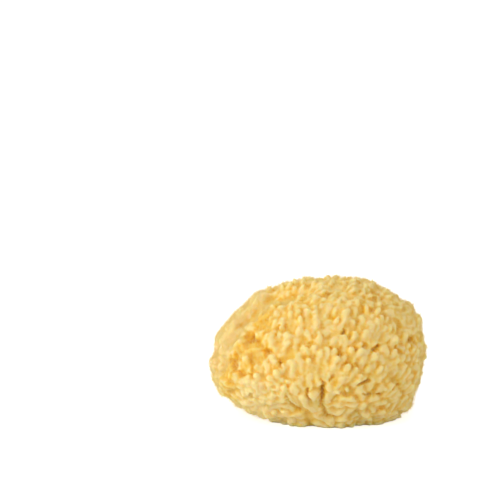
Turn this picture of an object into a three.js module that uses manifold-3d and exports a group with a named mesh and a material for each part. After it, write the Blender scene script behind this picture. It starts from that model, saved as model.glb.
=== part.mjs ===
// A natural wool sea sponge, dried, in millimetres. It grew as one piece, so it is one solid: a bun-shaped
// body covered in rounded knobs, with an open groove on its left shoulder, cut off flat where it grew on the rock.
// +Z is up, -Y is the front, and the origin is the middle of the bounding box, on the cut face.
import * as THREE from "three";
import { mergeVertices } from "three/addons/utils/BufferGeometryUtils.js";
import Module from "manifold-3d";

// Overall size, over the tips of the knobs.
const length = 100; // along X
const depth = 82; // along Y
const height = 64; // along Z, from the cut face to the crown

// Outlines of the smooth body from its crown down to the middle of its underside, as [outward, up].
// They are scaled to the overall size at the end, and what is below zero is cut off.
const crown = [6, 64];
const underside = [2, -7];
const rightOutline = [crown, [19, 63.5], [34.5, 56], [46.5, 45], [49, 26], [44.5, 9], [36, -2], underside];
const leftOutline = [crown, [-12, 62], [-30, 54], [-44, 40], [-50, 21], [-41.5, 6.5], [-27, -1], underside];
const frontOutline = [crown, [-13, 62], [-27, 54], [-37, 39], [-40, 22], [-33.5, 8], [-24, -1.5], underside];
const backOutline = [crown, [14, 61], [28, 52], [38, 38], [41, 21], [36, 7], [26, -1.5], underside];
const squareness = 2.25; // exponent of the oval seen from above: 2 is an ellipse, more is squarer
const heart = new THREE.Vector3(0, 0, 26); // the point inside that knobs and groove are sunk towards

// Knobs: clusters of wool that stand up all over the body, with valleys between them.
const knobCount = 330;
const knobRadius = 6.4; // from a knob's middle to where its dome would reach the valley floor
const valleyDepth = 2.6;
const knobScatter = 0.055; // how far a knob strays from even spacing, on a sphere of radius 1
const knobSeed = 7;

// The groove, as [azimuth, angle down from the crown] in degrees along its bottom. Azimuth 0 is +X, 90 is +Y.
const grooveRoute = [[-128, 30], [-152, 44], [-155, 66], [-158, 90]];
const grooveDepth = 5;
const grooveHalfWidth = 5.5;

const meshDetail = 18; // subdivisions of the icosahedron that carries the surface
const cutSlab = 200; // side of the block that takes the rock face off

const degree = Math.PI / 180;

// A smooth curve through [outward, up] points, read at a share of the way from crown to underside.
function outlineCurve(points) {
  return new THREE.SplineCurve(points.map(([outward, up]) => new THREE.Vector2(outward, up)));
}

const outlines = {
  right: outlineCurve(rightOutline),
  left: outlineCurve(leftOutline),
  front: outlineCurve(frontOutline),
  back: outlineCurve(backOutline),
};

// The point of the smooth body that a direction from its middle leads to.
function bodyPoint(direction) {
  const { x, y, z } = direction.clone().normalize();
  const share = Math.acos(THREE.MathUtils.clamp(z, -1, 1)) / Math.PI;
  const azimuth = Math.atan2(y, x);
  const [right, left, front, back] = ["right", "left", "front", "back"].map((side) =>
    outlines[side].getPointAt(share),
  );
  const [alongX, alongY] = [Math.cos(azimuth), Math.sin(azimuth)];
  const roundness = (Math.abs(alongX) ** squareness + Math.abs(alongY) ** squareness) ** (1 / squareness);
  const sideways = alongX > 0 ? right : left;
  const lengthways = alongY > 0 ? back : front;
  return new THREE.Vector3(
    (right.x + left.x) / 2 + ((right.x - left.x) / 2) * (alongX / roundness),
    (back.x + front.x) / 2 + ((back.x - front.x) / 2) * (alongY / roundness),
    sideways.y * alongX ** 2 + lengthways.y * alongY ** 2,
  );
}

function directionAt(azimuthDegrees, downDegrees) {
  return new THREE.Vector3().setFromSphericalCoords(1, downDegrees * degree, 0)
    .applyAxisAngle(new THREE.Vector3(1, 0, 0), 90 * degree) // from +Y up to +Z up
    .applyAxisAngle(new THREE.Vector3(0, 0, 1), (azimuthDegrees + 90) * degree);
}

// A repeatable source of numbers from 0 to 1.
function numberSource(seed) {
  let state = seed;
  return () => {
    state = (state * 1664525 + 1013904223) % 4294967296;
    return state / 4294967296;
  };
}

// The knobs' middles: a spiral that covers the sphere evenly, each point strayed a little, laid on the body.
function knobCentres() {
  const next = numberSource(knobSeed);
  const goldenAngle = Math.PI * (3 - Math.sqrt(5));
  return Array.from({ length: knobCount }, (_, index) => {
    const z = 1 - (2 * index + 1) / knobCount;
    const ring = Math.sqrt(1 - z * z);
    const turn = index * goldenAngle;
    const stray = new THREE.Vector3(next() - 0.5, next() - 0.5, next() - 0.5).multiplyScalar(2 * knobScatter);
    return bodyPoint(new THREE.Vector3(ring * Math.cos(turn), ring * Math.sin(turn), z).add(stray));
  });
}

// How far a point of the body lies below the tips of the knobs.
function valleyAt(point, centres) {
  const nearest = Math.min(...centres.map((centre) => centre.distanceTo(point)));
  return valleyDepth * Math.min(1, (nearest / knobRadius) ** 2);
}

function grooveAt(point, bottom) {
  const nearest = Math.min(...bottom.map((place) => place.distanceTo(point)));
  return grooveDepth * Math.exp(-((nearest / grooveHalfWidth) ** 2));
}

function spongeSurface() {
  const sphere = new THREE.IcosahedronGeometry(1, meshDetail);
  sphere.deleteAttribute("normal");
  sphere.deleteAttribute("uv");
  const surface = mergeVertices(sphere, 1e-5);
  const position = surface.getAttribute("position");
  const vertex = new THREE.Vector3();
  for (let i = 0; i < position.count; i++) {
    const laid = bodyPoint(vertex.fromBufferAttribute(position, i));
    position.setXYZ(i, laid.x, laid.y, laid.z);
  }

  const centres = knobCentres();
  const route = grooveRoute.map(([azimuth, down]) => bodyPoint(directionAt(azimuth, down)));
  const grooveBottom = new THREE.CatmullRomCurve3(route).getPoints(40);
  const inward = new THREE.Vector3();
  for (let i = 0; i < position.count; i++) {
    vertex.fromBufferAttribute(position, i);
    inward.subVectors(heart, vertex).normalize();
    vertex.addScaledVector(inward, valleyAt(vertex, centres) + grooveAt(vertex, grooveBottom));
    position.setXYZ(i, vertex.x, vertex.y, vertex.z);
  }
  return surface;
}

const wasm = await Module();
wasm.setup();

function solidOf(geometry) {
  return new wasm.Manifold(new wasm.Mesh({
    numProp: 3,
    vertProperties: new Float32Array(geometry.getAttribute("position").array),
    triVerts: new Uint32Array(geometry.index.array),
  }));
}

function geometryOf(solid) {
  const { vertProperties, triVerts } = solid.getMesh();
  return new THREE.BufferGeometry()
    .setAttribute("position", new THREE.BufferAttribute(vertProperties, 3))
    .setIndex(new THREE.BufferAttribute(triVerts, 1));
}

// Takes off all that is below z = 0, which leaves the flat face that the sponge stands on.
function cutFromRock(surface) {
  const rock = new THREE.BoxGeometry(cutSlab, cutSlab, cutSlab).translate(0, 0, -cutSlab / 2);
  rock.deleteAttribute("normal");
  rock.deleteAttribute("uv");
  return geometryOf(solidOf(surface).subtract(solidOf(mergeVertices(rock))));
}

// Centres the cut sponge on the origin, on its cut face, and gives it the overall size.
function toSize(geometry) {
  geometry.computeBoundingBox();
  const { min, max } = geometry.boundingBox;
  return geometry
    .translate(-(min.x + max.x) / 2, -(min.y + max.y) / 2, -min.z)
    .scale(length / (max.x - min.x), depth / (max.y - min.y), height / (max.z - min.z));
}

// Dry spongin fibre: matt and pale straw yellow.
const spongin = new THREE.MeshStandardMaterial({ color: 0xe8c573, roughness: 0.95, metalness: 0 });

const sponge = new THREE.Mesh(toSize(cutFromRock(spongeSurface())), spongin);
sponge.name = "sponge";

const group = new THREE.Group();
group.add(sponge);
export default group;
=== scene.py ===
# A dried wool sea sponge on a white table. The imported part gives its body, and this script grows the wool on it:
# little hands of blunt fingers that overlap like shingles, narrow crevices and a few pits between them, golden and
# darker with painted shade, a haze of loose fibre ends, and a cut face full of canals underneath.
import math
import time

import bmesh
import bpy
import numpy as np
from mathutils import Matrix, Vector
from mathutils.bvhtree import BVHTree
from mathutils.kdtree import KDTree


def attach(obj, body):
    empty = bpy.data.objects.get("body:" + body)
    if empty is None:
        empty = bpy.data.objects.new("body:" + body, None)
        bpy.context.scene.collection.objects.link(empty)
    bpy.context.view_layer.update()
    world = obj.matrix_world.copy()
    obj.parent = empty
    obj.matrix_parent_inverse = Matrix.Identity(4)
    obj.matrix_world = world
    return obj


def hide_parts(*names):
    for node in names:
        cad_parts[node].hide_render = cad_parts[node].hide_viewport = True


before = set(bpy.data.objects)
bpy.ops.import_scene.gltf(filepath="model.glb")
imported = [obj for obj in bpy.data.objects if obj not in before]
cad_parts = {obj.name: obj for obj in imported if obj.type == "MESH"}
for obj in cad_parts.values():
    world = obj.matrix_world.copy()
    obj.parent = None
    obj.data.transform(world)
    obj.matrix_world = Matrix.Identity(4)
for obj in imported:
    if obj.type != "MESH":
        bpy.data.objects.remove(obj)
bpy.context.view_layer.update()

started = time.time()


def say(stage):
    print(f"{time.time() - started:6.1f} s  {stage}")


def colour(hexCode):
    channels = [int(hexCode[i:i + 2], 16) / 255 for i in (1, 3, 5)]
    return [c / 12.92 if c <= 0.04045 else ((c + 0.055) / 1.055) ** 2.4 for c in channels] + [1.0]


def out(node):
    return next(s for s in node.outputs if s.enabled)


# Inputs are named or numbered. A node given as a value stands for its first output.
def addNode(tree, kind, links=None, **settings):
    node = tree.nodes.new(kind)
    for name, value in settings.items():
        setattr(node, name, value)
    for name, value in (links or {}).items():
        if isinstance(name, int):
            socket = node.inputs[name]
        else:
            socket = next(s for s in node.inputs if s.enabled and s.name == name)
        if isinstance(value, bpy.types.Node):
            value = out(value)
        if isinstance(value, bpy.types.NodeSocket):
            tree.links.new(value, socket)
        else:
            socket.default_value = value
    return node


# A Geometry Nodes tree with a shape, the given inputs and a material coming in, and a shape going out.
def newTree(name, shape, inputs, result):
    tree = bpy.data.node_groups.new(name, "GeometryNodeTree")
    face = tree.interface
    face.new_socket(shape, in_out="INPUT", socket_type="NodeSocketGeometry")
    for label, kind in inputs.items():
        face.new_socket(label, in_out="INPUT", socket_type=f"NodeSocket{kind}")
    face.new_socket("Material", in_out="INPUT", socket_type="NodeSocketMaterial")
    face.new_socket(result, in_out="OUTPUT", socket_type="NodeSocketGeometry")
    return tree, addNode(tree, "NodeGroupInput").outputs


def endTree(tree, shape, material):
    solid = addNode(tree, "GeometryNodeRealizeInstances", {0: shape})
    dressed = addNode(tree, "GeometryNodeSetMaterial", {"Geometry": solid, "Material": material})
    tree.links.new(out(dressed), addNode(tree, "NodeGroupOutput").inputs[0])
    return tree


def objectFrom(name, mesh):
    made = bpy.data.objects.new(name, mesh)
    bpy.context.scene.collection.objects.link(made)
    return made


def objectOf(name, work):
    mesh = bpy.data.meshes.new(name)
    work.to_mesh(mesh)
    work.free()
    return objectFrom(name, mesh)


def applied(thing):
    bpy.context.view_layer.update()
    mesh = bpy.data.meshes.new_from_object(thing.evaluated_get(bpy.context.evaluated_depsgraph_get()))
    thing.modifiers.clear()
    thing.data = mesh
    mesh.name = thing.name
    return thing


def runTree(thing, tree, values):
    modifier = thing.modifiers.new(tree.name, "NODES")
    modifier.node_group = tree
    for socket in tree.interface.items_tree:
        if socket.in_out == "INPUT" and socket.name in values:
            modifier[socket.identifier] = values[socket.name]
    return applied(thing)


def remeshed(thing, voxel, smoothings):
    remesh = thing.modifiers.new("remesh", "REMESH")
    remesh.mode = "VOXEL"
    remesh.voxel_size = voxel
    smooth = thing.modifiers.new("smooth", "SMOOTH")
    smooth.factor = 0.5
    smooth.iterations = smoothings
    return applied(thing)


def readVectors(mesh, name):
    flat = np.empty(len(mesh.vertices) * 3, np.float32)
    mesh.vertices.foreach_get(name, flat)
    return flat.reshape(-1, 3).astype(float)


def readNumbers(mesh, name):
    values = np.empty(len(mesh.vertices), np.float32)
    mesh.attributes[name].data.foreach_get("value", values)
    return values.astype(float)


def writeAttribute(mesh, name, values):
    mesh.attributes.new(name, "FLOAT", "POINT").data.foreach_set("value", np.asarray(values, np.float32))


def moveTo(thing, points):
    thing.data.vertices.foreach_set("co", points.astype(np.float32).ravel())
    thing.data.update()
    return thing


def triangleCount(mesh):
    return sum(len(p.vertices) - 2 for p in mesh.polygons)


def smoothStep(value, low, high):
    share = np.clip((value - low) / (high - low), 0, 1)
    return share * share * (3 - 2 * share)


def alongRoute(route, step):
    samples = []
    for start, end in zip(route, route[1:]):
        start, end = np.array(start), np.array(end)
        pieces = max(1, round(np.linalg.norm(end - start) / step))
        samples += [start + (end - start) * share / pieces for share in range(pieces)]
    return np.array(samples + [np.array(route[-1])])


# Moves points by a few sine waves of about the given size, so that what is laid out evenly looks grown.
def wobbled(points, size, height, seed):
    source = np.random.default_rng(seed)
    total = np.zeros_like(points)
    waves = 8
    for _ in range(waves):
        wave = source.normal(size=3)
        wave *= 2 * math.pi / size * source.uniform(0.6, 1.4) / np.linalg.norm(wave)
        total += np.sin(points @ wave + source.uniform(0, 2 * math.pi))[:, None] * source.normal(size=3)
    return points + total * height / math.sqrt(waves)


# Each value drawn halfway to the mean of its neighbours', round after round.
def neighbourMean(mesh, values, rounds):
    edges = np.empty(len(mesh.edges) * 2, np.int32)
    mesh.edges.foreach_get("vertices", edges)
    a, b = edges.reshape(-1, 2).T
    size = len(values)
    count = np.bincount(a, minlength=size) + np.bincount(b, minlength=size)
    for _ in range(rounds):
        total = np.zeros_like(values)
        for axis in range(values.shape[1]):
            total[:, axis] = np.bincount(a, values[b, axis], size) + np.bincount(b, values[a, axis], size)
        values = 0.5 * values + 0.5 * total / count[:, None]
    return values


# The body under the wool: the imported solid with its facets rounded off. It is carried on below the table, so that
# wool grows across the edge of the cut.
body = dict(voxel=0.0015, smoothings=4, footDrop=0.008, footScale=0.86, mergeWithin=1e-6, cutWithin=1e-5)
heart = np.array((0.0, 0.0, 0.026))  # creases and pits run in towards this point


def bodyWithFoot(node):
    mesh = node.data.copy()
    work = bmesh.new()
    work.from_mesh(mesh)
    bmesh.ops.remove_doubles(work, verts=work.verts, dist=body["mergeWithin"])
    cutFaces = [f for f in work.faces if max(v.co.z for v in f.verts) < body["cutWithin"]]
    foot = bmesh.ops.extrude_face_region(work, geom=cutFaces)
    lowered = [v for v in foot["geom"] if isinstance(v, bmesh.types.BMVert)]
    bmesh.ops.delete(work, geom=cutFaces, context="FACES")
    middle = sum((v.co for v in lowered), Vector()) / len(lowered)
    for v in lowered:
        v.co = middle + (v.co - middle) * body["footScale"]
        v.co.z = -body["footDrop"]
    work.to_mesh(mesh)
    work.free()
    mesh.materials.clear()
    return objectFrom("envelope", mesh)


# The bottom of the broad soft hollow over the left shoulder.
hollow = dict(halfWidth=0.0085, step=0.002, route=[
    (-0.020, -0.012, 0.060), (-0.027, -0.024, 0.048), (-0.033, -0.028, 0.036), (-0.040, -0.025, 0.024),
    (-0.042, -0.020, 0.012),
])
# The other places where the wool changes, each as the two distances between which the change comes in: how far
# forward the front begins, how high the low wool and the left foot reach, how far left that foot begins, how far
# left of the hollow and how far back the soft end begins and ends, and where the crown and the right end begin.
spans = dict(front=(0.0, 0.02), low=(0.014, 0.030), footTop=(0.016, 0.036), footSide=(0.010, 0.026),
             soft=(-0.009, 0.009), softBack=(0.005, 0.025), high=(0.042, 0.056), farRight=(0.022, 0.044))
# How soft and level the wool is beyond the hollow and in it, and how much less of that the left foot has.
calming = dict(beyond=0.88, within=0.7, footLoss=0.75)


def nearHollow(points):
    route = alongRoute(hollow["route"], hollow["step"])
    gap = np.linalg.norm(points[:, None, :] - route[None, :, :], axis=2).min(axis=1)
    return np.exp(-(gap / hollow["halfWidth"]) ** 2)


# The left end, beyond the hollow, where the wool is soft and its fingers hardly stand out.
def beyondHollow(points):
    x, y, z = points.T
    (topX, _, topZ), (footX, _, footZ) = hollow["route"][0], hollow["route"][-1]
    rim = footX + (z - footZ) * (topX - footX) / (topZ - footZ)
    return smoothStep(rim - x, *spans["soft"]) * (1 - smoothStep(y, *spans["softBack"]))


# The low left end, where the wool is knobbly and is painted palest, as painted light from the lamp at the left.
def leftFoot(points):
    x, _, z = points.T
    return (1 - smoothStep(z, *spans["footTop"])) * smoothStep(-x, *spans["footSide"])


# The low front, where the lobes are broad and deep and lie every way.
def lowFront(points):
    _, y, z = points.T
    return smoothStep(-y, *spans["front"]) * (1 - smoothStep(z, *spans["low"]))


def calmness(points):
    soft = np.clip(calming["beyond"] * beyondHollow(points) + calming["within"] * nearHollow(points), 0, 1)
    return soft * (1 - calming["footLoss"] * leftFoot(points))


# How the wool grows: how far its fingers lean to the side, in the middle and for each metre to the right or left
# of it, how much less they are swept up where they are low, and what each place adds to their stoutness, to their
# shortness and to how many there are.
growth = dict(lean=0.25, leanRight=15.0, leanLeft=9.0, lowSweep=0.75,
              lowGirth=0.16, footGirth=-0.05, highGirth=-0.12, hollowGirth=0.1, lowStubby=0.32, footStubby=0.55,
              crowd=0.66, footCrowd=0.22, lowCrowd=-0.02, highCrowd=0.10)


def describeWool(mesh):
    p = readVectors(mesh, "co")
    x, _, z = p.T
    low = lowFront(p)
    foot = leftFoot(p)
    high = smoothStep(z, *spans["high"])
    farRight = smoothStep(x, *spans["farRight"])
    lean = growth["lean"] + np.where(x > 0, growth["leanRight"], growth["leanLeft"]) * x
    sweep = 1.0 - growth["lowSweep"] * np.clip(low * (1 - farRight) + foot, 0, 1)
    girth = 1.0 + growth["lowGirth"] * low + growth["footGirth"] * foot + growth["highGirth"] * high
    girth += growth["hollowGirth"] * nearHollow(p)
    stubby = np.clip(growth["lowStubby"] * low * (1 - foot) + growth["footStubby"] * foot, 0, 1)
    crowd = growth["crowd"] + growth["footCrowd"] * foot + growth["lowCrowd"] * low * (1 - foot)
    crowd += growth["highCrowd"] * high
    described = dict(lean=lean, sweep=sweep, girth=girth, stubby=stubby, crowd=crowd, calm=calmness(p))
    for name, values in described.items():
        writeAttribute(mesh, name, values)


def envelope():
    return remeshed(bodyWithFoot(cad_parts["sponge"]), body["voxel"], body["smoothings"])


# The hands of wool that lie on the body, swept up and back. Waves of 13 mm turn whole stretches of them and waves
# of 5 mm bend each finger, both given as waves in a metre. A hand starts nearly half its length behind its place,
# and the stubbiest is 70 percent shorter. A finger bows out from the body and to its own side.
fingers = dict(spacing=0.0045, length=0.0100, sizes=(0.75, 1.25), girths=(0.82, 1.22), shortening=-0.7,
               start=-0.45, backward=0.7, wander=0.22, turning=1.1, waves=75.0, bend=0.0016, bendWaves=190.0,
               bowOut=0.04, bowAside=0.35, seed=5)
# A hand is a list of fingers, as how far its tip lies to the side and how far it reaches, in lengths of the hand.
hands = [
    [(0.04, 1.00)],
    [(0.04, 1.00)],
    [(-0.24, 0.85), (0.22, 1.00)],
    [(-0.20, 1.00), (0.28, 0.84)],
    [(-0.42, 0.74), (0.00, 1.00), (0.40, 0.82)],
]
crowded = 400000.0  # points in a square metre, more than the spacing leaves room for


def handsTree():
    tree, given = newTree("handsOfWool", "Body", {
        "Spacing": "Float", "Length": "Float", "Wander": "Float", "Turning": "Float", "Waves": "Float",
        "Bend": "Float", "Bend waves": "Float", "Seed": "Int",
    }, "Hands")
    felt = {}
    for name in ("crowd", "girth", "lean", "sweep", "stubby"):
        felt[name] = addNode(tree, "GeometryNodeInputNamedAttribute", {"Name": name}, data_type="FLOAT")
    outward = addNode(tree, "GeometryNodeInputNamedAttribute", {"Name": "outward"}, data_type="FLOAT_VECTOR")
    chance = {}
    ranges = dict(size=(fingers["sizes"], 6), shape=((0.0, 1.0), 9), girth=(fingers["girths"], 12))
    for name, ((least, most), step) in ranges.items():
        seed = addNode(tree, "ShaderNodeMath", {0: given["Seed"], 1: step}, operation="ADD")
        chance[name] = addNode(tree, "FunctionNodeRandomValue", {"Min": least, "Max": most, "Seed": seed},
                               data_type="FLOAT")

    scatter = addNode(tree, "GeometryNodeDistributePointsOnFaces", {
        "Mesh": given["Body"], "Distance Min": given["Spacing"], "Density Max": crowded,
        "Density Factor": felt["crowd"], "Seed": given["Seed"],
    }, distribute_method="POISSON")
    roots = addNode(tree, "GeometryNodeStoreNamedAttribute", {
        "Geometry": scatter.outputs["Points"], "Name": "outward", "Value": scatter.outputs["Normal"],
    }, data_type="FLOAT_VECTOR", domain="POINT")
    number = addNode(tree, "GeometryNodeInputIndex")
    roots = addNode(tree, "GeometryNodeStoreNamedAttribute", {"Geometry": roots, "Name": "hand", "Value": number},
                    data_type="FLOAT", domain="POINT")
    stout = addNode(tree, "ShaderNodeMath", {0: felt["girth"], 1: chance["girth"]}, operation="MULTIPLY")
    roots = addNode(tree, "GeometryNodeStoreNamedAttribute", {"Geometry": roots, "Name": "girth", "Value": stout},
                    data_type="FLOAT", domain="POINT")

    # A hand lies along the body, swept up and back, turning with the waves and a little of its own.
    place = addNode(tree, "GeometryNodeInputPosition")
    waves = addNode(tree, "ShaderNodeTexNoise", {"Vector": place, "Scale": given["Waves"], "Detail": 1.0})
    centred = addNode(tree, "ShaderNodeVectorMath", {0: waves.outputs["Color"], 1: (0.5, 0.5, 0.5)},
                      operation="SUBTRACT")
    waving = addNode(tree, "ShaderNodeVectorMath", {0: centred, "Scale": given["Turning"]}, operation="SCALE")
    anyWay = addNode(tree, "FunctionNodeRandomValue", {"Min": (-1, -1, -1), "Max": (1, 1, 1), "Seed": 3},
                     data_type="FLOAT_VECTOR")
    own = addNode(tree, "ShaderNodeVectorMath", {0: anyWay, "Scale": given["Wander"]}, operation="SCALE")
    upright = addNode(tree, "ShaderNodeCombineXYZ", {"X": felt["lean"], "Y": fingers["backward"], "Z": 1.0})
    facing = addNode(tree, "ShaderNodeVectorMath", {0: upright, 1: outward}, operation="DOT_PRODUCT")
    standing = addNode(tree, "ShaderNodeVectorMath", {0: outward, "Scale": facing.outputs["Value"]},
                       operation="SCALE")
    lying = addNode(tree, "ShaderNodeVectorMath", {0: upright, 1: standing}, operation="SUBTRACT")
    swept = addNode(tree, "ShaderNodeVectorMath", {0: lying, "Scale": felt["sweep"]}, operation="SCALE")
    turning = addNode(tree, "ShaderNodeVectorMath", {0: swept, 1: waving}, operation="ADD")
    turning = addNode(tree, "ShaderNodeVectorMath", {0: turning, 1: own}, operation="ADD")
    lifting = addNode(tree, "ShaderNodeVectorMath", {0: turning, 1: outward}, operation="DOT_PRODUCT")
    lifted = addNode(tree, "ShaderNodeVectorMath", {0: outward, "Scale": lifting.outputs["Value"]},
                     operation="SCALE")
    flat = addNode(tree, "ShaderNodeVectorMath", {0: turning, 1: lifted}, operation="SUBTRACT")
    pointing = addNode(tree, "ShaderNodeVectorMath", {0: flat}, operation="NORMALIZE")
    turned = addNode(tree, "FunctionNodeAxesToRotation", {"Primary Axis": pointing, "Secondary Axis": outward},
                     primary_axis="Z", secondary_axis="Y")

    size = addNode(tree, "ShaderNodeMath", {0: given["Length"], 1: chance["size"]}, operation="MULTIPLY")
    shorter = addNode(tree, "ShaderNodeMath", {0: felt["stubby"], 1: fingers["shortening"], 2: 1.0},
                      operation="MULTIPLY_ADD")
    size = addNode(tree, "ShaderNodeMath", {0: size, 1: shorter}, operation="MULTIPLY")
    behind = addNode(tree, "ShaderNodeMath", {0: size, 1: fingers["start"]}, operation="MULTIPLY")
    back = addNode(tree, "ShaderNodeVectorMath", {0: pointing, "Scale": behind}, operation="SCALE")
    planted = addNode(tree, "GeometryNodeSetPosition", {"Geometry": roots, "Offset": back})

    shapes = addNode(tree, "GeometryNodeJoinGeometry")
    for hand in reversed(hands):
        spread = addNode(tree, "GeometryNodeJoinGeometry")
        for index, (sideways, reach) in enumerate(hand):
            middle = (sideways * fingers["bowAside"], fingers["bowOut"], reach * 0.5)
            finger = addNode(tree, "GeometryNodeCurveQuadraticBezier",
                             {"Resolution": 5, "Start": (0, 0, 0), "Middle": middle, "End": (sideways, 0, reach)})
            named = addNode(tree, "GeometryNodeStoreNamedAttribute",
                            {"Geometry": finger, "Name": "finger", "Value": float(index)},
                            data_type="FLOAT", domain="POINT")
            tree.links.new(out(named), spread.inputs[0])
        tree.links.new(out(addNode(tree, "GeometryNodeGeometryToInstance", {0: spread})), shapes.inputs[0])
    # The stubbier the wool, the fewer fingers to a hand.
    spare = addNode(tree, "ShaderNodeMath", {0: 1.0, 1: felt["stubby"]}, operation="SUBTRACT")
    most = addNode(tree, "ShaderNodeMath", {0: spare, 1: len(hands) - 0.01}, operation="MULTIPLY")
    picked = addNode(tree, "ShaderNodeMath", {0: chance["shape"], 1: most}, operation="MULTIPLY")
    which = addNode(tree, "ShaderNodeMath", {0: picked}, operation="FLOOR")
    grown = addNode(tree, "GeometryNodeInstanceOnPoints", {
        "Points": planted, "Instance": shapes, "Pick Instance": True, "Instance Index": which,
        "Rotation": turned, "Scale": size,
    })
    strands = addNode(tree, "GeometryNodeRealizeInstances", {0: grown})

    share = addNode(tree, "GeometryNodeSplineParameter").outputs["Factor"]
    marked = addNode(tree, "GeometryNodeStoreNamedAttribute",
                     {"Geometry": strands, "Name": "share", "Value": share}, data_type="FLOAT", domain="POINT")
    drift = addNode(tree, "ShaderNodeTexNoise", {"Vector": place, "Scale": given["Bend waves"], "Detail": 0.0})
    drifting = addNode(tree, "ShaderNodeVectorMath", {0: drift.outputs["Color"], 1: (0.5, 0.5, 0.5)},
                       operation="SUBTRACT")
    bend = addNode(tree, "ShaderNodeMath", {0: share, 1: given["Bend"]}, operation="MULTIPLY")
    aside = addNode(tree, "ShaderNodeVectorMath", {0: drifting, "Scale": bend}, operation="SCALE")
    bent = addNode(tree, "GeometryNodeSetPosition", {"Geometry": marked, "Offset": aside})
    lines = addNode(tree, "GeometryNodeCurveToMesh", {"Curve": bent})
    return endTree(tree, lines, given["Material"])


def layHands(outer, wool):
    return runTree(objectFrom("hands", outer.data.copy()), handsTree(), {
        "Spacing": fingers["spacing"], "Length": fingers["length"], "Wander": fingers["wander"],
        "Turning": fingers["turning"], "Waves": fingers["waves"], "Bend": fingers["bend"],
        "Bend waves": fingers["bendWaves"], "Seed": fingers["seed"], "Material": wool,
    })


# The sponge's skin. Each place on it belongs to the nearest finger, and it is domed over that finger and creased
# where it meets the next one. Where the wool is calm, the domes are lower and the tips rise less.
skin = dict(voxel=0.00045, bodySoftening=2, softening=3, mostTriangles=192000, neighbours=20, handNumbers=4)
relief = dict(domeHeight=0.0018, halfWidth=0.0019, widest=0.0034, tallest=1.3, squareness=2.0, steepness=0.5,
              tipRise=0.0012, uneven=0.0003, lowGain=0.25, calmDome=0.42, calmRise=0.5, softEndRise=0.0011,
              highest=1.15, softenings=3, forkRoundness=0.0014, forkFades=(0.1, 0.55), wobble=0.00045,
              wobbleSize=0.0045, girth=0.0008, swell=0.0009, swellSize=0.0085, seed=21)

# Creases and pits in the front of the wool, as half width, depth and route, all in millimetres. The last two are
# the broad recesses of the left shoulder, which painted shade makes golden.
creases = [
    (0.80, 1.8, [(2, -41, 24), (2, -37, 16), (2, -36, 11), (4, -32, 7), (8, -32, 4)]),
    (0.80, 1.8, [(26, -34, 38), (28, -33, 39)]),
    (0.75, 1.8, [(19, -38, 22), (23, -36, 24)]),
    (0.70, 1.4, [(11, -33, 45), (12, -32, 46)]),
    (0.65, 1.6, [(-5, -40, 20), (-4, -38, 15)]),
    (0.60, 1.3, [(-14, -38, 16), (-12, -36, 13), (-9, -33, 9)]),
    (0.60, 1.3, [(20, -36, 18), (22, -36, 17), (29, -33, 16)]),
    (0.65, 1.1, [(7, -37, 15), (10, -39, 18)]),
    (0.60, 1.1, [(16, -32, 9), (20, -29, 6)]),
    (0.70, 1.0, [(34, -30, 19), (37, -27, 20)]),
    (0.70, 1.3, [(-18, -38, 32), (-16, -38, 30)]),
    (0.70, 1.1, [(-31, -33, 26), (-29, -35, 24)]),
    (0.90, 1.0, [(36, -28, 38), (37, -27, 35)]),
    (0.60, 1.0, [(5, -41, 25), (7, -40, 26)]),
    (0.60, 0.8, [(33, -28, 43), (34, -27, 44)]),
    (0.70, 0.8, [(-18, -29, 47), (-20, -31, 44)]),
    (0.60, 0.6, [(-2, -36, 42), (-6, -35, 41)]),
    (0.60, 1.0, [(-21, -37, 19), (-20, -38, 18)]),
    (0.60, 0.8, [(-9, -40, 25), (-8, -40, 26)]),
    (2.00, 1.5, [(-31, -23, 41), (-27, -31, 39), (-24, -34, 36)]),
    (2.00, 1.5, [(-40, -24, 30), (-37, -28, 27), (-34, -31, 24)]),
]
creasing = dict(step=0.0006, clearance=0.0013)  # fingers keep that clear of a crease
# Pits in the back and the crown, in millimetres, with the azimuth in half turns and the rise in radians.
pits = dict(count=16, halfWidth=(0.8, 1.3), depth=(1.6, 3.0), azimuth=(-0.15, 1.15), rise=(0.0, 1.2),
            fromHeart=40, stray=1.2, seed=17)
farAway = 1.0  # the gap to what does not count


# Pits are short creases, scattered where the front's own creases don't reach.
def scatteredPits():
    source = np.random.default_rng(pits["seed"])
    made = []
    for _ in range(pits["count"]):
        azimuth = source.uniform(*pits["azimuth"]) * math.pi
        rise = source.uniform(*pits["rise"])
        level = math.cos(rise)
        ray = np.array((math.cos(azimuth) * level, math.sin(azimuth) * level, math.sin(rise)))
        start = pits["fromHeart"] * ray + heart * 1000
        end = start + source.normal(size=3) * pits["stray"]
        made.append((source.uniform(*pits["halfWidth"]), source.uniform(*pits["depth"]), [start, end]))
    return made


# For each place along each crease: its half width, its depth, and how far aside of it the points are.
def besideCreases(points):
    away = points - heart
    for halfWidth, depth, route in creases + scatteredPits():
        for sample in alongRoute([np.array(point) / 1000 for point in route], creasing["step"]):
            ray = (sample - heart) / np.linalg.norm(sample - heart)
            along = away @ ray
            aside = np.linalg.norm(away - along[:, None] * ray, axis=1)
            yield halfWidth / 1000, depth / 1000, np.where(along > 0, aside, farAway)


def clearOfCreases(laid):
    p = readVectors(laid.data, "co")
    far = np.min([aside for _, _, aside in besideCreases(p)], axis=0) > creasing["clearance"]
    work = bmesh.new()
    work.from_mesh(laid.data)
    bmesh.ops.delete(work, geom=[v for v, keep in zip(list(work.verts), far) if not keep], context="VERTS")
    work.to_mesh(laid.data)
    work.free()


def warped(points):
    wide = wobbled(points, relief["wobbleSize"], relief["wobble"], relief["seed"])
    return wobbled(wide, relief["wobbleSize"] / 3, relief["wobble"] / 2, relief["seed"] + 1)


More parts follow.
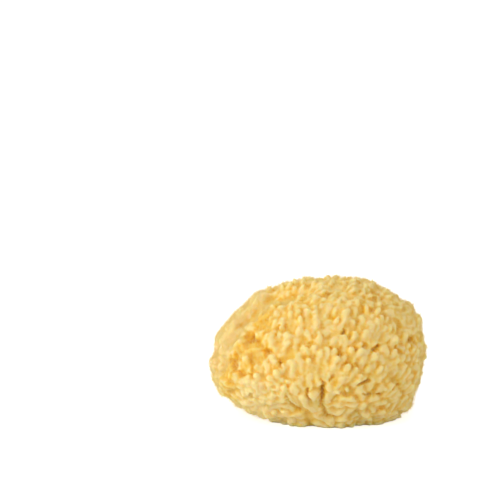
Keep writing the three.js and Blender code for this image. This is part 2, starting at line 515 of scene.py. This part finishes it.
def pushedIn(thing):
    p = readVectors(thing.data, "co")
    away = p - heart
    wandering = warped(p)
    push = np.zeros(len(p))
    for halfWidth, depth, aside in besideCreases(wandering):
        push = np.maximum(push, depth * np.exp(-(aside / halfWidth) ** 2))
    return moveTo(thing, p - away / np.linalg.norm(away, axis=1)[:, None] * push[:, None])


# What the wool is like at each point: how far across its finger it lies, from 0 in the middle to 1 in the crease,
# how near the tip, how wide half the finger is there, and which finger it is.
def fingersAt(points, laid):
    samples = readVectors(laid.data, "co")
    hand, finger, share, stout = (readNumbers(laid.data, name) for name in ("hand", "finger", "share", "girth"))
    girth = (stout - 1) * relief["girth"]
    own = (hand * skin["handNumbers"] + finger).round().astype(int)
    nearest = KDTree(len(samples))
    for index, place in enumerate(samples):
        nearest.insert(place, index)
    nearest.balance()
    near = np.array([[found[1] for found in nearest.find_n(v, skin["neighbours"])] for v in points])
    gap = np.linalg.norm(samples[near] - points[:, None, :], axis=2) - girth[near]
    rows = np.arange(len(points))
    first = gap.argmin(axis=1)
    mine = near[rows, first]
    closest = gap[rows, first]
    sameHand = hand[near] == hand[mine][:, None]
    sameFinger = own[near] == own[mine][:, None]
    toOther = np.where(sameHand, farAway, gap).min(axis=1) - closest
    toFork = np.where(sameHand & ~sameFinger, gap, farAway).min(axis=1) - closest
    toFork += relief["forkRoundness"] * (1 - smoothStep(share[mine], *relief["forkFades"]))
    inside = closest + girth[mine]
    halfWidth = np.minimum(inside + np.minimum(toOther, toFork) / 2, relief["widest"] * stout[mine])
    across = np.clip(inside / halfWidth, 0, 1)
    return across, share[mine], halfWidth, own[mine]


def domedSkin(outer, laid):
    skinned = remeshed(objectFrom("domes", outer.data.copy()), skin["voxel"], skin["bodySoftening"])
    p = readVectors(skinned.data, "co")
    normals = readVectors(skinned.data, "normal")
    across, atTip, halfWidth, own = fingersAt(warped(p), laid)
    calm = calmness(p)
    rise = relief["tipRise"] * (1 - relief["calmRise"] * calm)
    uneven = np.random.default_rng(relief["seed"]).uniform(-1, 1, own.max() + 1)
    dome = (1 - across ** relief["squareness"]) ** relief["steepness"]
    tall = np.minimum(halfWidth / relief["halfWidth"], relief["tallest"]) * (1 + relief["lowGain"] * lowFront(p))
    top = relief["domeHeight"] * tall * (1 - relief["calmDome"] * calm) + rise * (atTip - 0.5)
    top += relief["uneven"] * uneven[own]
    # All of it is sunk by the height of a tall dome, so that the tops come out level with the body.
    highest = relief["domeHeight"] * relief["highest"] + relief["tipRise"] * 0.5
    height = neighbourMean(skinned.data, (dome * top)[:, None], relief["softenings"])[:, 0] - highest
    swell = wobbled(p, relief["swellSize"], relief["swell"], relief["seed"] + 2) - p
    height += relief["softEndRise"] * beyondHollow(p) + calm * (swell * normals).sum(axis=1)
    return moveTo(skinned, p + normals * height[:, None])


# The tips stand clear of the domes: a tapered tube along each finger, rising from its root to its tip. The taper
# is how thick it is at shares of its length.
tubes = dict(radius=0.00158, rootDepth=0.0052, tipDepth=0.0017, calmDepth=0.0009, riseCurve=1.3, sides=8, rings=9,
             taper=[(0.0, 0.70), (0.4, 0.85), (0.7, 1.0), (0.88, 0.88), (1.0, 0.50)],
             standOut=0.0006, firmness=0.7)


def tubesTree():
    tree, given = newTree("tubesOfWool", "Lines", {
        "Radius": "Float", "Root depth": "Float", "Tip depth": "Float", "Calm depth": "Float",
        "Rise curve": "Float", "Sides": "Int", "Rings": "Int",
    }, "Tubes")
    felt = {}
    for name in ("share", "girth", "calm"):
        felt[name] = addNode(tree, "GeometryNodeInputNamedAttribute", {"Name": name}, data_type="FLOAT")
    outward = addNode(tree, "GeometryNodeInputNamedAttribute", {"Name": "outward"}, data_type="FLOAT_VECTOR")

    curves = addNode(tree, "GeometryNodeMeshToCurve", {0: given["Lines"]})
    tipDepth = addNode(tree, "ShaderNodeMath", {0: felt["calm"], 1: given["Calm depth"], 2: given["Tip depth"]},
                       operation="MULTIPLY_ADD")
    climb = addNode(tree, "ShaderNodeMath", {0: given["Root depth"], 1: tipDepth}, operation="SUBTRACT")
    along = addNode(tree, "ShaderNodeMath", {0: felt["share"], 1: given["Rise curve"]}, operation="POWER")
    risen = addNode(tree, "ShaderNodeMath", {0: along, 1: climb}, operation="MULTIPLY")
    height = addNode(tree, "ShaderNodeMath", {0: risen, 1: given["Root depth"]}, operation="SUBTRACT")
    lift = addNode(tree, "ShaderNodeVectorMath", {0: outward, "Scale": height}, operation="SCALE")
    lifted = addNode(tree, "GeometryNodeSetPosition", {"Geometry": curves, "Offset": lift})

    taper = addNode(tree, "ShaderNodeFloatCurve", {"Value": felt["share"]})
    points = taper.mapping.curves[0].points
    points[0].location = tubes["taper"][0]
    points[1].location = tubes["taper"][-1]
    for spot in tubes["taper"][1:-1]:
        points.new(*spot)
    taper.mapping.update()
    fat = addNode(tree, "ShaderNodeMath", {0: taper, 1: given["Radius"]}, operation="MULTIPLY")
    fat = addNode(tree, "ShaderNodeMath", {0: fat, 1: felt["girth"]}, operation="MULTIPLY")
    smooth = addNode(tree, "GeometryNodeCurveSplineType", {0: lifted}, spline_type="CATMULL_ROM")
    facing = addNode(tree, "GeometryNodeSetCurveNormal", {"Curve": smooth, "Normal": outward}, mode="FREE")
    finer = addNode(tree, "GeometryNodeResampleCurve", {"Curve": facing, "Count": given["Rings"]})
    circle = addNode(tree, "GeometryNodeCurvePrimitiveCircle", {"Resolution": given["Sides"], "Radius": 1.0})
    pipes = addNode(tree, "GeometryNodeCurveToMesh", {
        "Curve": finer, "Profile Curve": circle, "Scale": fat, "Fill Caps": True,
    })
    return endTree(tree, pipes, given["Material"])


def tubesAlong(laid, wool):
    return runTree(objectFrom("tubes", laid.data.copy()), tubesTree(), {
        "Radius": tubes["radius"], "Root depth": tubes["rootDepth"], "Tip depth": tubes["tipDepth"],
        "Calm depth": tubes["calmDepth"], "Rise curve": tubes["riseCurve"], "Sides": tubes["sides"],
        "Rings": tubes["rings"], "Material": wool,
    })


# Draws in what stands too far out of the body, where a straight finger crosses the top of a knob.
def keptClose(thing, outer):
    surface = BVHTree.FromObject(outer, bpy.context.evaluated_depsgraph_get())
    p = readVectors(thing.data, "co")
    for index, place in enumerate(p):
        spot, normal, _, _ = surface.find_nearest(place)
        past = (Vector(place) - spot).dot(normal) - tubes["standOut"]
        if past > 0:
            p[index] -= np.array(normal) * past * tubes["firmness"]
    return moveTo(thing, p)


def joined(name, *things):
    work = bmesh.new()
    for thing in things:
        work.from_mesh(thing.data)
        bpy.data.objects.remove(thing)
    return objectOf(name, work)


# Lumps of two sizes all over the wool, each as its size and the height from its lowest to its highest.
lumps = dict(wide=0.0026, wideHeight=0.0003, fine=0.0011, fineHeight=0.00032)


def lumpsTree():
    tree, given = newTree("lumpsOfWool", "Solid", {
        "Wide": "Float", "Wide height": "Float", "Fine": "Float", "Fine height": "Float",
    }, "Lumpy")
    place = addNode(tree, "GeometryNodeInputPosition")
    heights = []
    for size, height in (("Wide", "Wide height"), ("Fine", "Fine height")):
        waves = addNode(tree, "ShaderNodeMath", {0: 1.0, 1: given[size]}, operation="DIVIDE")
        noise = addNode(tree, "ShaderNodeTexNoise", {"Vector": place, "Scale": waves, "Detail": 1.0})
        centred = addNode(tree, "ShaderNodeMath", {0: noise, 1: 0.5}, operation="SUBTRACT")
        heights.append(addNode(tree, "ShaderNodeMath", {0: centred, 1: given[height]}, operation="MULTIPLY"))
    total = addNode(tree, "ShaderNodeMath", {0: heights[0], 1: heights[1]}, operation="ADD")
    outward = addNode(tree, "GeometryNodeInputNormal")
    offset = addNode(tree, "ShaderNodeVectorMath", {0: outward, "Scale": total}, operation="SCALE")
    moved = addNode(tree, "GeometryNodeSetPosition", {"Geometry": given["Solid"], "Offset": offset})
    return endTree(tree, moved, given["Material"])


def roughened(thing, wool):
    return runTree(thing, lumpsTree(), {
        "Wide": lumps["wide"], "Wide height": lumps["wideHeight"], "Fine": lumps["fine"],
        "Fine height": lumps["fineHeight"], "Material": wool,
    })


def thinned(thing, most):
    count = triangleCount(thing.data)
    if count > most:
        fewer = thing.modifiers.new("thin", "DECIMATE")
        fewer.ratio = most / count
        applied(thing)
        thing.data.validate()


# The slab takes off what is below the table. It has a grid on it as fine as the wool, because long thin triangles
# on the cut face would show as streaks. The canals then open in that face, as slanting holes of all sizes.
slab = dict(half=0.05, depth=0.02, cell=0.0009, flatWithin=1e-6)
canals = dict(reach=0.86, spacing=0.0019, radius=0.00085, depth=0.0035, sides=9, leastSize=0.35, mostSize=1.9,
              rarity=5.0, slant=0.25, turn=6.0, seed=4)


def canalsTree():
    tree, given = newTree("canals", "Cut face", {
        "Spacing": "Float", "Radius": "Float", "Depth": "Float", "Sides": "Int", "Least size": "Float",
        "Most size": "Float", "Rarity": "Float", "Seed": "Int",
    }, "Canals")
    scatter = addNode(tree, "GeometryNodeDistributePointsOnFaces", {
        "Mesh": given["Cut face"], "Distance Min": given["Spacing"], "Density Max": crowded,
        "Seed": given["Seed"],
    }, distribute_method="POISSON")
    pin = addNode(tree, "GeometryNodeMeshCone", {
        "Vertices": given["Sides"], "Radius Top": given["Radius"], "Radius Bottom": given["Radius"],
        "Depth": given["Depth"],
    })
    # Mostly small canals and a few large ones.
    chance = addNode(tree, "FunctionNodeRandomValue", {"Min": 0.0, "Max": 1.0, "Seed": 2}, data_type="FLOAT")
    seldom = addNode(tree, "ShaderNodeMath", {0: chance, 1: given["Rarity"]}, operation="POWER")
    size = addNode(tree, "ShaderNodeMapRange",
                   {"Value": seldom, "To Min": given["Least size"], "To Max": given["Most size"]})
    slant, turn = canals["slant"], canals["turn"]
    lean = addNode(tree, "FunctionNodeRandomValue",
                   {"Min": (-slant, -slant, 0), "Max": (slant, slant, turn), "Seed": 3}, data_type="FLOAT_VECTOR")
    bored = addNode(tree, "GeometryNodeInstanceOnPoints", {
        "Points": scatter.outputs["Points"], "Instance": pin, "Rotation": lean, "Scale": size,
    })
    return endTree(tree, bored, given["Material"])


def carved(thing, tool):
    cut = thing.modifiers.new("cut", "BOOLEAN")
    cut.operation = "DIFFERENCE"
    cut.solver = "MANIFOLD"
    cut.object = tool
    applied(thing)
    bpy.data.objects.remove(tool)


def cutFlat(thing, wool):
    rock = bmesh.new()
    cells = round(2 * slab["half"] / slab["cell"])
    bmesh.ops.create_grid(rock, x_segments=cells, y_segments=cells, size=slab["half"])
    walls = bmesh.ops.extrude_face_region(rock, geom=rock.faces[:])
    for v in [v for v in walls["geom"] if isinstance(v, bmesh.types.BMVert)]:
        v.co.z = -slab["depth"]
    bmesh.ops.recalc_face_normals(rock, faces=rock.faces)
    carved(thing, objectOf("rock", rock))

    bottom = bmesh.new()
    bottom.from_mesh(thing.data)
    others = [f for f in bottom.faces if max(v.co.z for v in f.verts) > slab["flatWithin"]]
    bmesh.ops.delete(bottom, geom=others, context="FACES")
    bmesh.ops.scale(bottom, verts=bottom.verts, vec=(canals["reach"], canals["reach"], 1))
    carved(thing, runTree(objectOf("canals", bottom), canalsTree(), {
        "Spacing": canals["spacing"], "Radius": canals["radius"], "Depth": canals["depth"],
        "Sides": canals["sides"], "Least size": canals["leastSize"], "Most size": canals["mostSize"],
        "Rarity": canals["rarity"], "Seed": canals["seed"], "Material": wool,
    }))


# How hidden each place is: the share of short rays from it that meet other wool, spread like light off a matt
# surface. How hollowed it is comes from the mean of the places round it. Both are painted into the wool's colour as
# shade, more golden and darker in crevices and hollows.
shelter = dict(rays=12, reach=0.006, clearance=0.00008, spread=0.98, softenings=2, hollowRounds=10,
               hollowDepth=0.0008, seed=5)
# Painted light and shade: how much painted highlight makes the wool pale at a finger's root and how much more at
# its tip, how much painted shade makes it more golden in the hollow, and how much paler, as painted light, the soft
# end and the left foot are.
paintedLightAndShade = dict(root=0.35, tip=0.65, hollow=0.68, softEnd=0.6, foot=0.55)


def markWool(thing, laid):
    mesh = thing.data
    p = readVectors(mesh, "co")
    normals = readVectors(mesh, "normal")
    wool = BVHTree.FromObject(thing, bpy.context.evaluated_depsgraph_get())
    rays = np.random.default_rng(shelter["seed"]).normal(size=(shelter["rays"], 3))
    rays /= np.linalg.norm(rays, axis=1)[:, None]
    met = np.zeros(len(p))
    starts = p + normals * shelter["clearance"]
    for ray in rays:
        facing = normals + ray * shelter["spread"]
        facing /= np.linalg.norm(facing, axis=1)[:, None]
        met += [wool.ray_cast(s, d, shelter["reach"])[0] is not None for s, d in zip(starts, facing)]
    hidden = neighbourMean(mesh, (met / len(rays))[:, None], shelter["softenings"])[:, 0]
    hollowed = ((neighbourMean(mesh, p, shelter["hollowRounds"]) - p) * normals).sum(axis=1)
    across, atTip, _, _ = fingersAt(warped(p), laid)
    near = nearHollow(p)
    # Painted light where the lamp falls on the left: the soft end and the left foot are painted paler, except in
    # the hollow.
    paintedLeftLight = (paintedLightAndShade["softEnd"] * beyondHollow(p) + paintedLightAndShade["foot"] * leftFoot(p)) * (1 - near)
    # Painted light and shade in the colour: the hidden and hollowed marks paint shade in crevices, the tip mark
    # paints highlight on crests and tips, and the last mark paints shade in the hollow.
    writeAttribute(mesh, "hidden", hidden)
    writeAttribute(mesh, "relief", np.clip(0.5 + hollowed / shelter["hollowDepth"], 0, 1))
    writeAttribute(mesh, "tip", np.sqrt(1 - across ** 2) * (paintedLightAndShade["root"] + paintedLightAndShade["tip"] * atTip))
    writeAttribute(mesh, "hollowShadeLeftLight", paintedLightAndShade["hollow"] * near - paintedLeftLight)


# Loose fibre ends: short hairs that stand up all over the wool and blur its edges. Real ones are finer, and these
# are as coarse as they need to be to show. They stand on what is open to the light, most of all on the soft left
# end, and none on the cut face.
fuzz = dict(pieces=4, fibres=13400, length=0.0019, shortest=0.5, longest=1.3, thickness=0.00004, thinning=-0.5,
            lift=0.7, sweep=(0.1, 0.1, 0.35), stray=0.8, curl=0.35, rise=0.9, rootDepth=0.0001, seed=31,
            openness=1.2, hiddenLoss=2.0, lowest=0.0026, softEndGain=0.8)


def fuzzTree():
    tree, given = newTree("looseFibres", "Skin", {
        "Density": "Float", "Length": "Float", "Shortest": "Float", "Longest": "Float", "Thickness": "Float",
        "Thinning": "Float", "Lift": "Float", "Stray": "Float", "Curl": "Float", "Rise": "Float",
        "Root depth": "Float", "Seed": "Int",
    }, "Fuzz")
    exposed = addNode(tree, "GeometryNodeInputNamedAttribute", {"Name": "exposed"}, data_type="FLOAT")
    density = addNode(tree, "ShaderNodeMath", {0: given["Density"], 1: exposed}, operation="MULTIPLY")
    scatter = addNode(tree, "GeometryNodeDistributePointsOnFaces",
                      {"Mesh": given["Skin"], "Density": density, "Seed": given["Seed"]})
    outward = scatter.outputs["Normal"]
    anyWay = addNode(tree, "FunctionNodeRandomValue",
                     {"Min": (-1, -1, -1), "Max": (1, 1, 1), "Seed": given["Seed"]}, data_type="FLOAT_VECTOR")
    strayed = addNode(tree, "ShaderNodeVectorMath", {0: anyWay, "Scale": given["Stray"]}, operation="SCALE")
    lifted = addNode(tree, "ShaderNodeVectorMath", {0: outward, "Scale": given["Lift"]}, operation="SCALE")
    swept = addNode(tree, "ShaderNodeVectorMath", {0: lifted, 1: fuzz["sweep"]}, operation="ADD")
    pointing = addNode(tree, "ShaderNodeVectorMath", {0: swept, 1: strayed}, operation="ADD")
    turned = addNode(tree, "FunctionNodeAxesToRotation", {"Primary Axis": pointing, "Secondary Axis": anyWay},
                     primary_axis="Z", secondary_axis="Y")
    uneven = addNode(tree, "FunctionNodeRandomValue",
                     {"Min": given["Shortest"], "Max": given["Longest"], "Seed": 7}, data_type="FLOAT")
    size = addNode(tree, "ShaderNodeMath", {0: uneven, 1: given["Length"]}, operation="MULTIPLY")

    end = addNode(tree, "ShaderNodeCombineXYZ", {"X": given["Curl"], "Y": 0.0, "Z": given["Rise"]})
    bowed = addNode(tree, "GeometryNodeCurveQuadraticBezier",
                    {"Start": (0, 0, 0), "Middle": (0, 0, 0.5), "End": end})
    fibre = addNode(tree, "GeometryNodeResampleCurve", {"Curve": bowed, "Count": 3})
    sunk = addNode(tree, "ShaderNodeVectorMath", {0: outward, "Scale": given["Root depth"]}, operation="SCALE")
    inward = addNode(tree, "ShaderNodeVectorMath", {0: (0, 0, 0), 1: sunk}, operation="SUBTRACT")
    planted = addNode(tree, "GeometryNodeSetPosition", {"Geometry": scatter.outputs["Points"], "Offset": inward})
    grown = addNode(tree, "GeometryNodeInstanceOnPoints", {
        "Points": planted, "Instance": fibre, "Rotation": turned, "Scale": size,
    })
    strands = addNode(tree, "GeometryNodeRealizeInstances", {0: grown})
    share = addNode(tree, "GeometryNodeSplineParameter").outputs["Factor"]
    taper = addNode(tree, "ShaderNodeMath", {0: share, 1: given["Thinning"], 2: 1.0}, operation="MULTIPLY_ADD")
    thickness = addNode(tree, "ShaderNodeMath", {0: taper, 1: given["Thickness"]}, operation="MULTIPLY")
    section = addNode(tree, "GeometryNodeCurvePrimitiveCircle", {"Resolution": 3, "Radius": 1.0})
    hairs = addNode(tree, "GeometryNodeCurveToMesh", {
        "Curve": strands, "Profile Curve": section, "Scale": thickness, "Fill Caps": True,
    })
    return endTree(tree, hairs, given["Material"])


# Marks how open to the light the skin is, and returns its open area.
def markExposed(mesh):
    p = readVectors(mesh, "co")
    exposed = np.clip(fuzz["openness"] - fuzz["hiddenLoss"] * readNumbers(mesh, "hidden"), 0, 1)
    exposed *= p[:, 2] > fuzz["lowest"]
    exposed *= 1 + fuzz["softEndGain"] * beyondHollow(p)
    writeAttribute(mesh, "exposed", exposed)
    return sum(face.area * exposed[list(face.vertices)].mean() for face in mesh.polygons)


def fuzzOn(sponge, fibre):
    area = markExposed(sponge.data)
    tree = fuzzTree()
    tufts = []
    for index in range(fuzz["pieces"]):
        tufts.append(runTree(objectFrom(f"looseFibres{index + 1}", sponge.data.copy()), tree, {
            "Density": fuzz["fibres"] / area, "Length": fuzz["length"], "Shortest": fuzz["shortest"],
            "Longest": fuzz["longest"], "Thickness": fuzz["thickness"], "Thinning": fuzz["thinning"],
            "Lift": fuzz["lift"], "Stray": fuzz["stray"], "Curl": fuzz["curl"], "Rise": fuzz["rise"],
            "Root depth": fuzz["rootDepth"], "Seed": fuzz["seed"] + index, "Material": fibre,
        }))
    return tufts


# How golden the wool is painted: so much all over, for each thing it is marked with, and for the mottle. The marks
# are painted light and shade: golden and darker where the wool is hidden, hollowed or in the hollow, paler at the
# tips and on the lit left end. The mottle is the wool's own uneven tone. The sizes of the mottle and of the fibres
# are in millimetres. Real fibres lie several times closer, and these are as coarse as they need to be to show.
goldAndPaintedLight = dict(allOver=-0.125, marks=dict(relief=0.5, hidden=1.0, tip=-0.42, hollowShadeLeftLight=0.48), mottle=0.2)
grain = dict(mottleSize=6.25, fibreSize=5 / 7, fibreStrength=0.35, fibreHeight=0.0004)


def spongin():
    # Dried spongin: a mat of hair-fine horny fibres. It has no gloss, and light soaks in and comes out warm. Its
    # colour also has painted light in it: creamy on the lobes and paler at their tips as painted highlight, golden
    # and darker in the crevices as painted shade.
    material = bpy.data.materials.new("driedSpongin")
    material.use_nodes = True
    tree = material.node_tree
    shader = tree.nodes["Principled BSDF"]
    for name, value in (("Roughness", 0.92), ("IOR", 1.45), ("Specular IOR Level", 0.2),
                        ("Subsurface Weight", 0.85), ("Subsurface Scale", 0.0045),
                        ("Sheen Weight", 0.1), ("Sheen Roughness", 0.6)):
        shader.inputs[name].default_value = value
    shader.inputs["Subsurface Radius"].default_value = (1.0, 0.65, 0.28)
    shader.inputs["Sheen Tint"].default_value = colour("#fff0c8")

    where = addNode(tree, "ShaderNodeTexCoord").outputs["Object"]
    goldAndLight = goldAndPaintedLight["allOver"]
    for name, weight in goldAndPaintedLight["marks"].items():
        mark = addNode(tree, "ShaderNodeAttribute", attribute_name=name).outputs["Fac"]
        goldAndLight = addNode(tree, "ShaderNodeMath", {0: mark, 1: weight, 2: goldAndLight}, operation="MULTIPLY_ADD")
    mottle = addNode(tree, "ShaderNodeTexNoise", {
        "Vector": where, "Scale": 1000 / grain["mottleSize"], "Detail": 3.0,
    })
    goldAndLight = addNode(tree, "ShaderNodeMath", {0: mottle.outputs["Fac"], 1: goldAndPaintedLight["mottle"], 2: goldAndLight},
                   operation="MULTIPLY_ADD", use_clamp=True)
    # The ramp runs from cream on the open tips to darker orange-gold in the deepest crevices, where the painted
    # shade drives it.
    ramp = addNode(tree, "ShaderNodeValToRGB", {"Fac": goldAndLight})
    stops = ramp.color_ramp.elements
    stops[0].color = colour("#f5dfa0")
    stops[1].color = colour("#cf8a1c")
    for position, code in ((0.18, "#f6d77e"), (0.38, "#f2c854"), (0.62, "#edb52e"), (0.84, "#e09f20")):
        stops.new(position).color = colour(code)
    tree.links.new(ramp.outputs["Color"], shader.inputs["Base Color"])

    fibres = addNode(tree, "ShaderNodeTexNoise", {
        "Vector": where, "Scale": 1000 / grain["fibreSize"], "Detail": 3.0, "Roughness": 0.65,
    })
    bump = addNode(tree, "ShaderNodeBump", {
        "Height": fibres.outputs["Fac"], "Strength": grain["fibreStrength"], "Distance": grain["fibreHeight"],
    })
    tree.links.new(bump.outputs["Normal"], shader.inputs["Normal"])
    return material


def sponginHair():
    # Single spongin fibres: the same horny stuff, straw-coloured and thin enough to look pale, with no gloss.
    material = bpy.data.materials.new("sponginHair")
    material.use_nodes = True
    shader = material.node_tree.nodes["Principled BSDF"]
    for name, value in (("Roughness", 0.9), ("IOR", 1.45), ("Specular IOR Level", 0.2)):
        shader.inputs[name].default_value = value
    shader.inputs["Base Color"].default_value = colour("#f7e094")
    return material


# A white card under the sponge and white all round, as a light table looks, and one soft lamp at the upper left.
studio = dict(tableHalf=3.0, tableColour="#f2f2f2", tableRoughness=0.9, tableGlow=0.62,
              fill=0.81, backdrop=1.1, fillColour="#fffcf8", lampPlace=(-1.08, -0.70, 0.58), lampAim=(0, 0, 0.03),
              lampWidth=0.6, lampPower=7.5, lampColour="#fffaf4")
view = dict(distance=0.6, elevation=13.0, target=(0, 0, 0.030), lens=93.7, sensor=36, aimLeft=2.98, aimUp=4.36)


def table():
    work = bmesh.new()
    bmesh.ops.create_grid(work, x_segments=1, y_segments=1, size=studio["tableHalf"])
    # Plain white card: matt paper that scatters what falls on it. It glows for the eye only, so it looks pure
    # white without lighting the sponge from below.
    material = bpy.data.materials.new("whiteCard")
    material.use_nodes = True
    tree = material.node_tree
    shader = tree.nodes["Principled BSDF"]
    shader.inputs["Base Color"].default_value = colour(studio["tableColour"])
    shader.inputs["Roughness"].default_value = studio["tableRoughness"]
    shader.inputs["Emission Color"].default_value = colour("#ffffff")
    seen = addNode(tree, "ShaderNodeLightPath").outputs["Is Camera Ray"]
    glow = addNode(tree, "ShaderNodeMath", {0: seen, 1: studio["tableGlow"]}, operation="MULTIPLY")
    tree.links.new(out(glow), shader.inputs["Emission Strength"])
    card = objectOf("table", work)
    card.data.materials.append(material)


def studioLight():
    world = bpy.data.worlds.new("studio")
    world.use_nodes = True
    tree = world.node_tree
    background = tree.nodes["Background"]
    background.inputs["Color"].default_value = colour(studio["fillColour"])
    seen = addNode(tree, "ShaderNodeLightPath").outputs["Is Camera Ray"]
    extra = studio["backdrop"] - studio["fill"]  # the backdrop looks brighter than it lights
    strength = addNode(tree, "ShaderNodeMath", {0: seen, 1: extra, 2: studio["fill"]}, operation="MULTIPLY_ADD")
    tree.links.new(out(strength), background.inputs["Strength"])
    bpy.context.scene.world = world

    lamp = bpy.data.lights.new("lamp", "AREA")
    lamp.shape = "DISK"
    lamp.size = studio["lampWidth"]
    lamp.energy = studio["lampPower"]
    lamp.color = colour(studio["lampColour"])[:3]
    holder = objectFrom("lamp", lamp)
    place = Vector(studio["lampPlace"])
    holder.location = place
    holder.rotation_euler = (Vector(studio["lampAim"]) - place).to_track_quat("-Z", "Y").to_euler()
    bpy.context.scene.view_settings.view_transform = "Standard"


def camera():
    lens = bpy.data.cameras.new("camera")
    lens.lens = view["lens"]
    lens.sensor_width = view["sensor"]
    holder = objectFrom("camera", lens)
    rise = math.radians(view["elevation"])
    place = Vector(view["target"]) + view["distance"] * Vector((0, -math.cos(rise), math.sin(rise)))
    tilt = math.radians(90 - view["elevation"] + view["aimUp"])
    turn = math.radians(view["aimLeft"])
    holder.matrix_world = Matrix.Translation(place) @ Matrix.Rotation(tilt, 4, "X") @ Matrix.Rotation(turn, 4, "Y")
    bpy.context.scene.camera = holder


wool = spongin()
outer = envelope()
describeWool(outer.data)
say("envelope")
laid = layHands(outer, wool)
clearOfCreases(laid)
say("hands laid")
domes = domedSkin(outer, laid)
say(f"domes: {len(domes.data.polygons)} faces")
fingerTubes = keptClose(tubesAlong(laid, wool), outer)
sponge = remeshed(joined("seaSponge", domes, fingerTubes), skin["voxel"], skin["softening"])
say(f"grown together: {len(sponge.data.polygons)} faces")
roughened(sponge, wool)
pushedIn(sponge)
say("creased")
thinned(sponge, skin["mostTriangles"])
say(f"thinned: {triangleCount(sponge.data)} triangles")
cutFlat(sponge, wool)
lowest = readVectors(sponge.data, "co")[:, 2].min()
say(f"cut: {triangleCount(sponge.data)} triangles, lowest {lowest * 1000:.2f} mm")
markWool(sponge, laid)
bpy.data.objects.remove(outer)
bpy.data.objects.remove(laid)
sponge.data.materials.clear()
sponge.data.materials.append(wool)
sponge.data.shade_smooth()
say("marked")
for tuft in fuzzOn(sponge, sponginHair()):
    say(f"{tuft.name}: {triangleCount(tuft.data)} triangles")
    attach(tuft, "root")
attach(sponge, "root")
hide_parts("sponge")
table()
studioLight()
camera()
say("table, light and camera")
